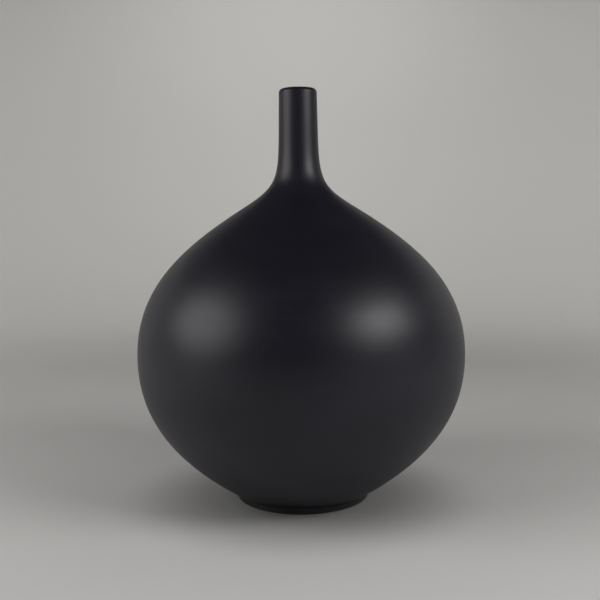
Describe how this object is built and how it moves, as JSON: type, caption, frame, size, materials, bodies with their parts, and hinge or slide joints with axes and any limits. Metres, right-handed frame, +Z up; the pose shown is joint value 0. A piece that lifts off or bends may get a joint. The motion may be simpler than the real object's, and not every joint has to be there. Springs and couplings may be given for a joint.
{
  "type": "bottle vase",
  "caption": "Round-bellied black clay bottle vase with a slim flaring neck, a rolled lip and a recessed foot ring, for holding stems or for display.",
  "frame": {"origin": "centre of the foot ring's resting face, on the surface that the pot stands on", "axes": "+Z up along the pot's axis of revolution, towards the lip; +X and +Y are any two square directions, because the pot is the same all round"},
  "size_m": [0.24, 0.24, 0.3],
  "materials": {
    "burnished_clay": "satin, stone-burnished and smoke-blackened",
    "raw_clay": "matt, wiped but not burnished, smoke-blackened"
  },
  "bodies": {
    "root": {"foot_ring": "raw_clay", "base_slab": "raw_clay", "lower_bowl": "burnished_clay", "upper_bowl": "burnished_clay", "neck_tube": "burnished_clay", "lip": "burnished_clay", "base_seam_coil": "raw_clay", "belly_seam_coil": "raw_clay", "shoulder_seam_coil": "raw_clay"}
  },
  "joints": []
}
